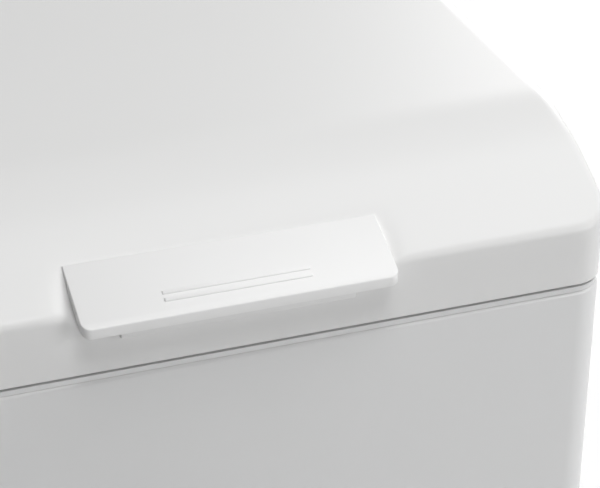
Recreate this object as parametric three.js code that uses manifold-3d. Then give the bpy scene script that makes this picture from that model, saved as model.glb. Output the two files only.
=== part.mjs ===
// A top-loading household trash compactor: a white cabinet with a hinged, crowned lid, a ram that a
// telescopic column pushes down from the lid, and a bucket in a drawer that a foot pedal nudges open.
// Millimetres, +Z up. The origin is on the floor, under the middle of the object's own box.
// Inside the machine group, Y is the distance behind the front face; inside the lid group, Z is measured
// from the seam between the lid and the cabinet.
import * as THREE from "three";
import { mergeVertices } from "three/addons/utils/BufferGeometryUtils.js";
import Module from "manifold-3d";

const wasm = await Module();
wasm.setup();

// ---- Driving dimensions ----
const WIDTH = 380;
const DEPTH = 600;
const HEIGHT = 872;
const CROWN = 67.5; // the lid's flat top above the seam
const LID_DEPTH = 450;
const CORNER_R = 17; // vertical corners of the cabinet and the lid
const SHEET = 1.5; // steel sheet
const PLASTIC = 3; // moulded walls
const GAP = 0.4; // between pieces that touch on the real machine
const SEAM = 1.8; // visible gap between the lid and the collar
const FOOT_H = 26; // floor to the underside of the base

const HALF = WIDTH / 2;
const SEAM_Z = HEIGHT - CROWN;
const COLLAR_TOP = SEAM_Z - SEAM / 2;
const COLLAR_T = 2.6;
const COLLAR_Z = COLLAR_TOP - COLLAR_T;
const COLLAR_STEP = 0.8; // the collar stands back this far from the faces under it

// The handle is a flat plate that carries on the slope of the lid's front and stands out past it.
const HANDLE_W = 150;
const HANDLE_L = 37.6;
const HANDLE_T = 4.7;
const HANDLE_TILT = THREE.MathUtils.degToRad(22.5);
const HANDLE_BACK_Y = 22.5;
const HANDLE_BACK_Z = 45.6;
const HANDLE_OUT = HANDLE_L * Math.cos(HANDLE_TILT) - HANDLE_BACK_Y;

const FRONT_Y = HANDLE_OUT - (DEPTH + HANDLE_OUT) / 2;

// Lid slope and blends
const FACET_Z = 32; // where the sloping front would meet the vertical front
const FACET_SLOPE = Math.tan(THREE.MathUtils.degToRad(30));
const CREASE_BLEND = 4;
const BEND_Y = 44; // where the sloping front gives way to the gently rising top
const BEND_BLEND = 6;
const RISE_SLOPE = 0.35;
const CROWN_BLEND = 18;
const SHOULDER_W = 38;
const SHOULDER_H = 10;
const REAR_R = 14; // the lid's rear edge, round about the hinge axis
const LID_SKIRT = SEAM / 2;

// Hinge
const HINGE_Y = LID_DEPTH - REAR_R;
const HINGE_Z = CROWN - REAR_R;
const PIN_R = 4;
const KNUCKLE_R = 9;
const BRACKET_X = HALF - 40;
const BRACKET_T = 4;
const ARM_T = 4;
const RUN = 0.5; // running gap beside or around a moving piece

// Throat, bucket and drawer
const CHUTE_HALF = HALF - 56;
const CHUTE_FRONT = 56;
const CHUTE_REAR = LID_DEPTH - 38;
const BUCKET_TOP = 648;
const BUCKET_Z = 104;
const BUCKET_WALL = 2.5;
const BUCKET_CLEAR = 3; // the bucket is this much wider than the throat
const RIM_OUT = 6;
const DRAWER_Z = 90; // lower edge of the drawer front
const DRAWER_T = 24;
const DRAWER_GAP = 2; // between the drawer front and the cabinet behind it
const PARTITION_Y = LID_DEPTH - 4;

// Ram
const RAM_SIDE_GAP = 7;
const RAM_Y0 = 92; // well behind the throat's front edge, so that the ram clears it as the lid swings up
const RAM_Y1 = CHUTE_REAR - RAM_SIDE_GAP - 1;
const RAM_HALF = CHUTE_HALF - RAM_SIDE_GAP;
const RAM_T = 24;
const RAM_FACE_T = 3;
const COLUMN_Y = (RAM_Y0 + RAM_Y1) / 2;
const SLEEVE_W = 96;
const STAGE_STEP = 12; // each tube is this much narrower than the one around it
const TUBE_WALL = 3;
const SLEEVE_TOP = 24;
const SLEEVE_BOTTOM = -62;
const STAGE_DROP = 1.5; // each tube ends this much below the one around it
const STAGES = 3;

const LINER_Z = 3;
const LINER_T = 2.5;
const FRAME_T = 3;
const FRAME_Z = LINER_Z + LINER_T + GAP;

// ---- Solids ----
const solid = (geometry) => {
  const bare = geometry.index ? geometry.toNonIndexed() : geometry.clone();
  bare.deleteAttribute("normal");
  bare.deleteAttribute("uv");
  const merged = mergeVertices(bare, 1e-4);
  return new wasm.Manifold(
    new wasm.Mesh({
      numProp: 3,
      vertProperties: merged.attributes.position.array,
      triVerts: new Uint32Array(merged.index.array),
    }),
  );
};

const geometryOf = (made) => {
  const mesh = made.getMesh();
  const position = new Float32Array(mesh.numVert * 3);
  for (let i = 0; i < mesh.numVert; i++) {
    position.set(mesh.vertProperties.subarray(i * mesh.numProp, i * mesh.numProp + 3), i * 3);
  }
  return new THREE.BufferGeometry()
    .setAttribute("position", new THREE.BufferAttribute(position, 3))
    .setIndex(new THREE.BufferAttribute(mesh.triVerts, 1));
};

const block = (x, y, z) =>
  solid(
    new THREE.BoxGeometry(x[1] - x[0], y[1] - y[0], z[1] - z[0]).translate(
      (x[0] + x[1]) / 2,
      (y[0] + y[1]) / 2,
      (z[0] + z[1]) / 2,
    ),
  );

// Extrusions along X of an outline in (y, z), along Y of one in (x, z), and along Z of one in (x, y).
const FRAME_X = new THREE.Matrix4().set(0, 0, 1, 0, 1, 0, 0, 0, 0, 1, 0, 0, 0, 0, 0, 1);
const FRAME_Y = new THREE.Matrix4().set(1, 0, 0, 0, 0, 0, -1, 0, 0, 1, 0, 0, 0, 0, 0, 1);
const extrude = (outline, length, steps) =>
  new THREE.ExtrudeGeometry(outline, { depth: length, bevelEnabled: false, curveSegments: steps });
const alongX = (outline, x, steps = 6) =>
  solid(extrude(outline, x[1] - x[0], steps).applyMatrix4(FRAME_X).translate(x[0], 0, 0));
const alongY = (outline, y, steps = 6) =>
  solid(extrude(outline, y[1] - y[0], steps).applyMatrix4(FRAME_Y).translate(0, y[1], 0));
const alongZ = (outline, z, steps = 6) => solid(extrude(outline, z[1] - z[0], steps).translate(0, 0, z[0]));

const polygon = (...points) => new THREE.Shape(points.map(([u, v]) => new THREE.Vector2(u, v)));
const disc = (u, v, r) => new THREE.Shape().absarc(u, v, r, 0, 2 * Math.PI);
const rodX = (y, z, r, x, steps = 8) => alongX(disc(y, z, r), x, steps);
const rodZ = (x, y, r, z, steps = 8) => alongZ(disc(x, y, r), z, steps);

// A rectangle with its own radius at the front corners and at the rear ones.
const plan = (x, y, front, rear) => {
  const shape = new THREE.Shape();
  const corner = (u, v, r, from) => {
    if (r > 0) shape.absarc(u, v, r, from, from + Math.PI / 2);
    else shape.lineTo(u, v);
  };
  shape.moveTo(x[0] + front, y[0]);
  corner(x[1] - front, y[0] + front, front, -Math.PI / 2);
  corner(x[1] - rear, y[1] - rear, rear, 0);
  corner(x[0] + rear, y[1] - rear, rear, Math.PI / 2);
  corner(x[0] + front, y[0] + front, front, Math.PI);
  return shape;
};

const join = (first, ...others) => others.reduce((a, b) => a.add(b), first);
const cut = (first, ...others) => others.reduce((a, b) => a.subtract(b), first);
const sides = [
  ["left", -1],
  ["right", 1],
];
const pair = (side, near, far) => (side < 0 ? [-far, -near] : [near, far]);

// ---- Materials ----
const material = (color, roughness, metalness) => new THREE.MeshStandardMaterial({ color, roughness, metalness });
const white_gloss = material(0xf0f0ef, 0.28, 0);
const white_steel = material(0xe4e5e6, 0.35, 0.1);
const white_inner = material(0xe2e3e4, 0.5, 0);
const zinc = material(0xa9adb0, 0.42, 0.9);
const dark_steel = material(0x4b4e52, 0.45, 0.8);
const black_plastic = material(0x26282b, 0.55, 0);
const rubber = material(0x303234, 0.85, 0);
const grey_plastic = material(0x9a9da0, 0.5, 0);
const lens_green = material(0x7fb98a, 0.2, 0);
const board_green = material(0x2f6b45, 0.6, 0);

// ---- Groups ----
const part = new THREE.Group();
const machine = new THREE.Group();
machine.position.y = FRONT_Y;
part.add(machine);
const lid = new THREE.Group();
lid.position.z = SEAM_Z;
machine.add(lid);
const put = (group, name, made, look, at = [0, 0, 0]) => {
  const mesh = new THREE.Mesh(made.isBufferGeometry ? made : geometryOf(made), look);
  mesh.name = name;
  mesh.position.set(...at);
  group.add(mesh);
};

// ---- Lid ----
// The lid's side outline, drawn `inset` inside its outer face: vertical front, sloping front, flat top.
const lidProfile = (inset, bottom) => {
  const top = CROWN - inset;
  const line = (slope, at) => (y) => at + slope * y - inset * Math.hypot(1, slope);
  const facet = line(FACET_SLOPE, FACET_Z);
  const rise = line(RISE_SLOPE, FACET_Z + (FACET_SLOPE - RISE_SLOPE) * BEND_Y);
  const bend = (rise(0) - facet(0)) / (FACET_SLOPE - RISE_SLOPE);
  const level = (top - rise(0)) / RISE_SLOPE;
  const rear = REAR_R - inset;
  const crease = inset + CREASE_BLEND * 0.88;
  const shape = new THREE.Shape();
  shape.moveTo(inset, bottom);
  shape.lineTo(inset, facet(inset) - CREASE_BLEND);
  shape.quadraticCurveTo(inset, facet(inset), crease, facet(crease));
  shape.lineTo(bend - BEND_BLEND, facet(bend - BEND_BLEND));
  shape.quadraticCurveTo(bend, facet(bend), bend + BEND_BLEND, rise(bend + BEND_BLEND));
  shape.lineTo(level - CROWN_BLEND, rise(level - CROWN_BLEND));
  shape.quadraticCurveTo(level, top, level + CROWN_BLEND, top);
  shape.lineTo(HINGE_Y, top);
  shape.absarc(HINGE_Y, HINGE_Z, rear, Math.PI / 2, 0, true);
  shape.lineTo(LID_DEPTH - inset, bottom);
  return shape;
};

// The front view of the crown: its shoulders roll down to the vertical sides.
const shoulders = (inset, bottom) => {
  const half = HALF - inset;
  const top = CROWN - inset;
  const shape = new THREE.Shape();
  shape.moveTo(-half, bottom);
  shape.lineTo(half, bottom);
  shape.lineTo(half, top - SHOULDER_H);
  shape.quadraticCurveTo(half - 4, top, half - SHOULDER_W, top);
  shape.lineTo(-half + SHOULDER_W, top);
  shape.quadraticCurveTo(-half + 4, top, -half, top - SHOULDER_H);
  return shape;
};

const crown = (inset, bottom) =>
  alongX(lidProfile(inset, bottom), [-HALF, HALF])
    .intersect(
      alongZ(
        plan([-HALF + inset, HALF - inset], [inset, LID_DEPTH - inset], CORNER_R - inset, 0),
        [bottom - 1, HEIGHT],
        8,
      ),
    )
    .intersect(alongY(shoulders(inset, bottom - 1), [-1, LID_DEPTH + 1]));

// Handle: a flat plate let into the sloping front, on a block that screws to the lid's face under it.
const HANDLE_SLOPE = Math.tan(HANDLE_TILT);
const handleTopZ = (y) => HANDLE_BACK_Z + (y - HANDLE_BACK_Y) * HANDLE_SLOPE;
const HANDLE_DROP = HANDLE_T / Math.cos(HANDLE_TILT); // its thickness measured straight down
const plateBody = (grow) => {
  const ends = [-HANDLE_OUT - grow, HANDLE_BACK_Y + grow];
  const lift = grow / Math.cos(HANDLE_TILT);
  const outline = polygon(
    [ends[0], handleTopZ(ends[0]) - HANDLE_DROP - lift],
    [ends[1], handleTopZ(ends[1]) - HANDLE_DROP - lift],
    [ends[1], handleTopZ(ends[1]) + lift],
    [ends[0], handleTopZ(ends[0]) + lift],
  );
  return alongX(outline, [-HANDLE_W / 2 - grow, HANDLE_W / 2 + grow]);
};
const undersideZ = (y) => handleTopZ(y) - HANDLE_DROP;
// Two fine raised lines along the plate mark where to pull.
const gripLines = [0.65, 0.76].map((share) =>
  solid(
    new THREE.BoxGeometry(70, 1.8, 1.6)
      .translate(0, -HANDLE_L * share, 0)
      .rotateX(HANDLE_TILT)
      .translate(0, HANDLE_BACK_Y, HANDLE_BACK_Z),
  ),
);
put(lid, "lid_handle", join(plateBody(0), ...gripLines), white_gloss);
const MOUNT_HALF = 56;
const MOUNT_OUT = 5;
put(
  lid,
  "handle_mount",
  alongX(
    polygon(
      [-MOUNT_OUT, 24.5],
      [-GAP, 22],
      [-GAP, undersideZ(-GAP) - GAP],
      [-MOUNT_OUT, undersideZ(-MOUNT_OUT) - GAP],
    ),
    [-MOUNT_HALF, MOUNT_HALF],
  ),
  white_gloss,
);
const hingeNotches = sides.map(([, s]) =>
  block(pair(s, BRACKET_X - 2, BRACKET_X + BRACKET_T + 2), [LID_DEPTH - 12, LID_DEPTH + 1], [-1, HINGE_Z + 9]),
);
// The rear wall stops short, so that its edge clears the collar as it swings down and forward.
const REAR_EDGE = 8;
const lidShell = cut(
  crown(0, LID_SKIRT),
  crown(PLASTIC, LID_SKIRT - 1),
  plateBody(GAP),
  block([-HALF - 1, HALF + 1], [LID_DEPTH - REAR_R, LID_DEPTH + 1], [-1, REAR_EDGE]),
  ...hingeNotches,
);
put(lid, "lid_shell", lidShell, white_gloss);

// Liner: the tray that closes the lid's underside, with a square hole for the ram's column.
const LINER_EDGE = PLASTIC + GAP;
const LINER_REAR = LID_DEPTH - 25;
const holeForSleeve = block(
  [-SLEEVE_W / 2 - GAP, SLEEVE_W / 2 + GAP],
  [COLUMN_Y - SLEEVE_W / 2 - GAP, COLUMN_Y + SLEEVE_W / 2 + GAP],
  [-CROWN, CROWN],
);
const liner = cut(
  alongZ(
    plan([-HALF + LINER_EDGE, HALF - LINER_EDGE], [LINER_EDGE, LINER_REAR], CORNER_R - LINER_EDGE, 0),
    [LINER_Z, LINER_Z + LINER_T],
  ),
  holeForSleeve,
);
put(lid, "lid_liner", liner, white_inner);

// Gasket: a square-section ring under the liner that seals on the collar round the throat.
const GASKET_W = 8;
const GASKET_Z = [-SEAM / 2 + GAP, LINER_Z - GAP];
const GASKET_FRONT = 44;
const gasketPlan = (inset, z) =>
  alongZ(
    plan([-HALF + 20 + inset, HALF - 20 - inset], [GASKET_FRONT + inset, LINER_REAR - 2 - inset], 8, 8),
    z,
    3,
  );
put(
  lid,
  "lid_gasket",
  cut(gasketPlan(0, GASKET_Z), gasketPlan(GASKET_W, [GASKET_Z[0] - 1, GASKET_Z[1] + 1])),
  rubber,
);

// Keeper: a bent tab that drops through the collar and takes the bolt of the lid lock.
const KEEPER = { half: 12, y: 36, t: 3, bottom: -22, hole: [-17, -9] };
put(
  lid,
  "lock_keeper",
  cut(
    block([-KEEPER.half, KEEPER.half], [KEEPER.y, KEEPER.y + KEEPER.t], [KEEPER.bottom, LINER_Z - GAP]),
    block([-KEEPER.half + 4, KEEPER.half - 4], [0, 60], KEEPER.hole),
  ),
  zinc,
);

// Frame: a steel cross beam that carries the ram, with two rails back to the hinge arms.
const RAIL_X = [BRACKET_X - 6, BRACKET_X + 18];
const BEAM_HALF = SLEEVE_W / 2 + 9;
const beam = join(
  block([-RAIL_X[1] - 8, RAIL_X[1] + 8], [COLUMN_Y - BEAM_HALF, COLUMN_Y + BEAM_HALF], [FRAME_Z, FRAME_Z + FRAME_T]),
  ...sides.map(([, s]) => block(pair(s, ...RAIL_X), [COLUMN_Y, LINER_REAR], [FRAME_Z, FRAME_Z + FRAME_T])),
);
put(lid, "lid_frame", cut(beam, holeForSleeve), zinc);

for (const [side, s] of sides) {
  const x = pair(s, BRACKET_X + BRACKET_T + RUN, BRACKET_X + BRACKET_T + RUN + ARM_T);
  const foot = FRAME_Z + FRAME_T + GAP;
  const outline = polygon(
    [HINGE_Y - 60, foot],
    [LINER_REAR, foot],
    [HINGE_Y + KNUCKLE_R * 0.6, HINGE_Z - KNUCKLE_R * 0.8],
    [HINGE_Y - KNUCKLE_R, HINGE_Z],
  );
  const arm = join(alongX(outline, x), rodX(HINGE_Y, HINGE_Z, KNUCKLE_R, x));
  put(lid, `hinge_arm_${side}`, cut(arm, rodX(HINGE_Y, HINGE_Z, PIN_R + GAP, [-HALF, HALF])), zinc);
}

// Column: a fixed square sleeve with three tubes and the ram's post inside one another.
const tube = (width, wall, z) =>
  cut(
    block([-width / 2, width / 2], [-width / 2, width / 2], z),
    block([-width / 2 + wall, width / 2 - wall], [-width / 2 + wall, width / 2 - wall], [z[0] - 1, z[1] + 1]),
  );
const column = [0, COLUMN_Y, 0];
const FLANGE = 10;
const flangeZ = FRAME_Z + FRAME_T + GAP;
const sleeve = join(
  tube(SLEEVE_W, TUBE_WALL, [SLEEVE_BOTTOM, SLEEVE_TOP]),
  tube(SLEEVE_W + 2 * FLANGE, FLANGE + TUBE_WALL, [flangeZ, flangeZ + TUBE_WALL]),
);
put(lid, "column_sleeve", sleeve, zinc, column);
const stageWidth = (k) => SLEEVE_W - STAGE_STEP * k;
for (let k = 1; k <= STAGES; k++) {
  const z = [SLEEVE_BOTTOM - STAGE_DROP * k, SLEEVE_TOP - STAGE_DROP * k];
  put(lid, `ram_stage_${k}`, tube(stageWidth(k), TUBE_WALL, z), zinc, column);
}
const POST_W = stageWidth(STAGES + 1);
const RAM_TOP = SLEEVE_BOTTOM - STAGE_DROP * (STAGES + 1) - 2;
const SCREW_R = 8;
const POST_TOP = SLEEVE_TOP - STAGE_DROP * (STAGES + 1);
const nut = cut(
  block([-POST_W / 2 + 1, POST_W / 2 - 1], [-POST_W / 2 + 1, POST_W / 2 - 1], [POST_TOP - 12, POST_TOP]),
  rodZ(0, 0, SCREW_R + GAP, [POST_TOP - 13, POST_TOP + 1]),
);
put(lid, "ram_post", join(tube(POST_W, TUBE_WALL, [RAM_TOP, POST_TOP]), nut), zinc, column);

// Ram: a ribbed steel plate with a smooth face under it.
const ramY = [RAM_Y0 - COLUMN_Y, RAM_Y1 - COLUMN_Y];
const ramZ = [RAM_TOP - GAP - RAM_T, RAM_TOP - GAP];
const RIB = 4;
const WEB = [7, 8]; // between the cells, across and from front to back
const RAM_EDGE = 7;
const cell = [
  (2 * RAM_HALF - 2 * (RAM_EDGE - 1) - 2 * WEB[0]) / 3,
  (RAM_Y1 - RAM_Y0 - 2 * RAM_EDGE - 2 * WEB[1]) / 3,
];
const ribCells = [];
for (const i of [-1, 0, 1]) {
  for (const j of [-1, 0, 1]) {
    if (i === 0 && j === 0) continue; // the post stands on the middle one
    const x = i * (cell[0] + WEB[0]);
    const y = j * (cell[1] + WEB[1]);
    ribCells.push(
      block([x - cell[0] / 2, x + cell[0] / 2], [y - cell[1] / 2, y + cell[1] / 2], [ramZ[0] + RIB, ramZ[1] + 1]),
    );
  }
}
const ramPlate = cut(alongZ(plan([-RAM_HALF, RAM_HALF], ramY, 12, 12), ramZ, 3), ...ribCells);
put(lid, "ram_plate", ramPlate, dark_steel, column);
const FACE_IN = 3;
put(
  lid,
  "ram_face",
  alongZ(
    plan([-RAM_HALF + FACE_IN, RAM_HALF - FACE_IN], [ramY[0] + FACE_IN, ramY[1] - FACE_IN], 12, 12),
    [ramZ[0] - GAP - RAM_FACE_T, ramZ[0] - GAP],
    3,
  ),
  white_inner,
  column,
);

// Drive: a right-angle gear motor on the sleeve turns the lead screw that runs down inside the post.
const GEARBOX_Z = [SLEEVE_TOP + GAP, SLEEVE_TOP + 26];
const GEARBOX_HALF = SLEEVE_W / 2 - 2;
const MOTOR_R = 20;
const MOTOR_X = [SLEEVE_W / 2 + FLANGE + 1, HALF - 40];
const MOTOR_AT = [-26, flangeZ + MOTOR_R + 1];
const gearMotor = join(
  block([-GEARBOX_HALF, GEARBOX_HALF], [-GEARBOX_HALF, GEARBOX_HALF], GEARBOX_Z),
  block([GEARBOX_HALF - 6, MOTOR_X[0] + 1], [MOTOR_AT[0] - 14, MOTOR_AT[0] + 14], [SLEEVE_TOP + 3, SLEEVE_TOP + 24]),
  rodX(...MOTOR_AT, MOTOR_R, MOTOR_X, 8),
  rodX(...MOTOR_AT, 7, [MOTOR_X[1], MOTOR_X[1] + 8]),
);
const SCREW_TOP = SLEEVE_TOP + 14;
const screwRoom = rodZ(0, 0, SCREW_R + GAP, [0, SCREW_TOP + GAP]);
put(lid, "gear_motor", cut(gearMotor, screwRoom), dark_steel, column);
put(lid, "lead_screw", rodZ(0, 0, SCREW_R, [SLEEVE_BOTTOM + 4, SCREW_TOP]), zinc, column);

// ---- Cabinet ----
const BASE_Z = [FOOT_H, FOOT_H + 24];
const BASE_HALF = HALF - SHEET - GAP;
const BASE_Y = [32, DEPTH - 4];
const base = cut(
  alongZ(plan([-BASE_HALF, BASE_HALF], BASE_Y, 0, CORNER_R), BASE_Z),
  block([-BASE_HALF + 2, BASE_HALF - 2], [BASE_Y[0] + 2, BASE_Y[1] - 2], [BASE_Z[0] + 3, BASE_Z[1] + 1]),
);
put(machine, "base_frame", base, zinc);

const FOOT_R = 20;
const footProfile = [
  [0, 0],
  [FOOT_R, 0],
  [FOOT_R, 5],
  [FOOT_R - 6, 9],
  [6, 11],
  [6, FOOT_H - GAP],
  [0, FOOT_H - GAP],
].map(([r, z]) => new THREE.Vector2(r, z));
const FOOT_X = HALF - 40;
const FOOT_Y = [64, DEPTH - 44];
for (const [side, s] of sides) {
  FOOT_Y.forEach((y, i) => {
    const foot = new THREE.LatheGeometry(footProfile, 20).rotateX(Math.PI / 2);
    put(machine, `foot_${i ? "rear" : "front"}_${side}`, solid(foot), rubber, [s * FOOT_X, y, 0]);
  });
}

// Side panels: sheet bent round the rear corner into a narrow flange.
const SIDE_Y = [DRAWER_T + DRAWER_GAP, DEPTH];
const SIDE_TOP = COLLAR_Z - GAP;
const FLANGE_X = HALF - CORNER_R - 14;
const wrap = cut(
  alongZ(plan([-HALF, HALF], SIDE_Y, 0, CORNER_R), [FOOT_H - 6, SIDE_TOP]),
  alongZ(plan([-HALF + SHEET, HALF - SHEET], [0, DEPTH - SHEET], 0, CORNER_R - SHEET), [0, HEIGHT]),
);
for (const [side, s] of sides) {
  put(
    machine,
    `side_panel_${side}`,
    wrap.intersect(block(pair(s, FLANGE_X, HALF + 1), [0, DEPTH + 1], [0, HEIGHT])),
    white_steel,
  );
}
const louvres = [];
for (let i = 0; i < 7; i++) {
  louvres.push(block([-60, 60], [DEPTH - 5, DEPTH + 5], [640 + 16 * i, 646 + 16 * i]));
}
const INLET = { x: 110, z: 120, w: 28, h: 22 };
const inletHole = block(
  [INLET.x - INLET.w / 2, INLET.x + INLET.w / 2],
  [DEPTH - 5, DEPTH + 5],
  [INLET.z - INLET.h / 2, INLET.z + INLET.h / 2],
);
put(
  machine,
  "back_panel",
  cut(
    block([-FLANGE_X + GAP, FLANGE_X - GAP], [DEPTH - SHEET, DEPTH], [FOOT_H - 6, SIDE_TOP]),
    ...louvres,
    inletHole,
  ),
  white_steel,
);
const inlet = cut(
  block(
    [INLET.x - INLET.w / 2 + GAP, INLET.x + INLET.w / 2 - GAP],
    [DEPTH - 30, DEPTH - 0.2],
    [INLET.z - INLET.h / 2 + GAP, INLET.z + INLET.h / 2 - GAP],
  ),
  block([INLET.x - 11, INLET.x + 11], [DEPTH - 18, DEPTH + 1], [INLET.z - 8, INLET.z + 8]),
);
const pins = [-6, 0, 6].map((x) =>
  block([INLET.x + x - 1, INLET.x + x + 1], [DEPTH - 19, DEPTH - 5], [INLET.z - 2, INLET.z + 2]),
);
put(machine, "power_inlet", join(inlet, ...pins), black_plastic);

// Collar: the moulded top ring that the lid seats on, with a slot for the keeper of the lid lock.
const collar = cut(
  alongZ(
    plan(
      [-HALF + COLLAR_STEP, HALF - COLLAR_STEP],
      [COLLAR_STEP, DEPTH - COLLAR_STEP],
      CORNER_R - COLLAR_STEP,
      CORNER_R - COLLAR_STEP,
    ),
    [COLLAR_Z, COLLAR_TOP],
  ),
  block([-CHUTE_HALF, CHUTE_HALF], [CHUTE_FRONT, CHUTE_REAR], [0, HEIGHT]),
  block([-150, 150], [LID_DEPTH + 30, DEPTH - 20], [0, HEIGHT]),
  block([-KEEPER.half - 2, KEEPER.half + 2], [KEEPER.y - 5, KEEPER.y + KEEPER.t + 2], [0, HEIGHT]),
);
put(machine, "top_collar", collar, white_gloss);

// Lid lock: a solenoid housing under the collar, with a bolt that slides forward through the keeper.
const LOCK_Y = [KEEPER.y + KEEPER.t + 3, CHUTE_FRONT - 2.5];
const LOCK_Z = [SEAM_Z - 24, COLLAR_Z - GAP];
const BOLT_Z = KEEPER.hole.map((z) => SEAM_Z + z);
const BOLT_ROOM = 1;
put(
  machine,
  "lock_housing",
  cut(
    block([-30, 30], LOCK_Y, LOCK_Z),
    block([-6.5 - RUN, 6.5 + RUN], [0, LOCK_Y[1] - 1], [BOLT_Z[0] + BOLT_ROOM - RUN, BOLT_Z[1] - BOLT_ROOM + RUN]),
  ),
  black_plastic,
);
put(
  machine,
  "lock_bolt",
  block([-6.5, 6.5], [LOCK_Y[0] - 1, LOCK_Y[1] - 1.5], [BOLT_Z[0] + BOLT_ROOM, BOLT_Z[1] - BOLT_ROOM]),
  zinc,
);

// Chute: the throat between the collar and the bucket.
const CHUTE_T = 1.5;
const chuteTube = (grow, z) =>
  alongZ(
    plan([-CHUTE_HALF - grow, CHUTE_HALF + grow], [CHUTE_FRONT - grow, CHUTE_REAR + grow], 10 + grow, 10 + grow),
    z,
    3,
  );
const CHUTE_Z = [BUCKET_TOP + 4, COLLAR_Z - GAP];
put(
  machine,
  "chute",
  cut(chuteTube(CHUTE_T, CHUTE_Z), chuteTube(0, [0, HEIGHT])),
  zinc,
);

// Partition between the bucket and the rear compartment, with a window for the odour filter.
const FILTER_Z = [610, 760];
put(
  machine,
  "partition",
  cut(
    block([-BASE_HALF + 3, BASE_HALF - 3], [PARTITION_Y, PARTITION_Y + 2], [BASE_Z[0] + 4, COLLAR_Z - GAP]),
    block([-50, 50], [0, DEPTH], [FILTER_Z[0] + 54, FILTER_Z[1] - 10]),
  ),
  zinc,
);
const filter = cut(
  block([-70, 70], [PARTITION_Y + 2 + GAP, PARTITION_Y + 74], FILTER_Z),
  block([-66, 66], [PARTITION_Y + 54, PARTITION_Y + 75], [FILTER_Z[0] + 4, FILTER_Z[1] - 4]),
);
put(machine, "odour_filter", filter, black_plastic);
// Toe kick, set back under the drawer front, with an opening for the pedal's arms.
const TRAY_Z = [98, 101];
const KICK_Y = [28, 30];
const KICK_Z = [12, DRAWER_Z - 4];
const PEDAL_HALF = 62;
const ARM_HALF = [44, 48];
put(
  machine,
  "toe_kick",
  cut(
    block([-BASE_HALF, BASE_HALF], KICK_Y, KICK_Z),
    ...sides.map(([, s]) => block(pair(s, ARM_HALF[0] - 3, ARM_HALF[1] + 3), [0, 40], [44, 72])),
  ),
  dark_steel,
);

// Foot pedal: pressing it tips two fingers forward, and they nudge the drawer open.
const PEDAL_AXIS = [54, 66];
const PIVOT_R = 3;
const pedal = join(
  alongX(polygon([3, 51], [24, 55], [24, 59], [3, 55]), [-PEDAL_HALF, PEDAL_HALF]),
  ...sides.map(([, s]) =>
    join(
      alongX(polygon([20, 55], [58, 62], [58, 70], [52, 70], [20, 59]), pair(s, ...ARM_HALF)),
      alongX(polygon([50, 66], [57, 66], [57, 93], [52, 93]), pair(s, ...ARM_HALF)),
    ),
  ),
);
put(machine, "foot_pedal", cut(pedal, rodX(...PEDAL_AXIS, PIVOT_R + GAP, [-HALF, HALF])), dark_steel);
put(
  machine,
  "pedal_pivot",
  join(
    rodX(...PEDAL_AXIS, PIVOT_R, [-60, 60]),
    ...sides.map(([, s]) =>
      block(
        pair(s, 56, 60),
        [PEDAL_AXIS[0] - 8, PEDAL_AXIS[0] + 8],
        [BASE_Z[0] + 3 + GAP, PEDAL_AXIS[1] + 5],
      ),
    ),
  ),
  zinc,
);

// ---- Drawer ----
const DRAWER_TOP = COLLAR_Z - 0.5;
const frontShell = cut(
  alongZ(plan([-HALF, HALF], [0, DRAWER_T], CORNER_R, 0), [DRAWER_Z, DRAWER_TOP], 8),
  alongZ(
    plan([-HALF + SHEET, HALF - SHEET], [SHEET, DRAWER_T + 1], CORNER_R - SHEET, 0),
    [DRAWER_Z + SHEET, DRAWER_TOP - SHEET],
    8,
  ),
);
put(machine, "drawer_front", frontShell, white_steel);
const LINER_X = HALF - SHEET - 2;
put(
  machine,
  "drawer_liner",
  block([-LINER_X, LINER_X], [DRAWER_T - 4, DRAWER_T], [DRAWER_Z + 4, DRAWER_TOP - 4]),
  white_inner,
);
// Frame: the tray that the bucket stands on, with side arms that are the inner members of the slides.
const SLIDE_Z = [108, 140];
const SLIDE_X = {
  arm: [HALF - 32, HALF - 28],
  middle: [HALF - 26, HALF - 16],
  fixed: [HALF - 14, HALF - 3],
};
const trayY = [DRAWER_T + GAP, CHUTE_REAR + 16];
const tray = join(
  block([-SLIDE_X.arm[1], SLIDE_X.arm[1]], trayY, TRAY_Z),
  block([-SLIDE_X.arm[1], SLIDE_X.arm[1]], [trayY[0], trayY[0] + 3], [TRAY_Z[0], 190]),
  block([-60, 60], [40, 43], [TRAY_Z[0] - 8, TRAY_Z[0] + 1]),
  ...sides.map(([, s]) => block(pair(s, ...SLIDE_X.arm), trayY, [TRAY_Z[0], SLIDE_Z[1] - 3])),
);
put(machine, "drawer_frame", tray, zinc);
const channel = (s, x, y, z) =>
  cut(
    block(pair(s, ...x), y, z),
    block(pair(s, x[0] - 1, x[1] - 2), [y[0] - 1, y[1] + 1], [z[0] + 2, z[1] - 2]),
  );
for (const [side, s] of sides) {
  const leg = block(
    pair(s, SLIDE_X.fixed[1] - 5, SLIDE_X.fixed[1] - 1.9),
    [80, PARTITION_Y - 12],
    [BASE_Z[0] + 4, SLIDE_Z[0] + 1],
  );
  const fixed = channel(s, SLIDE_X.fixed, [60, PARTITION_Y - 2], SLIDE_Z);
  put(machine, `slide_fixed_${side}`, join(fixed, leg), zinc);
  put(machine, `slide_middle_${side}`, channel(s, SLIDE_X.middle, [60, PARTITION_Y - 2], SLIDE_Z), zinc);
}
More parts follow.
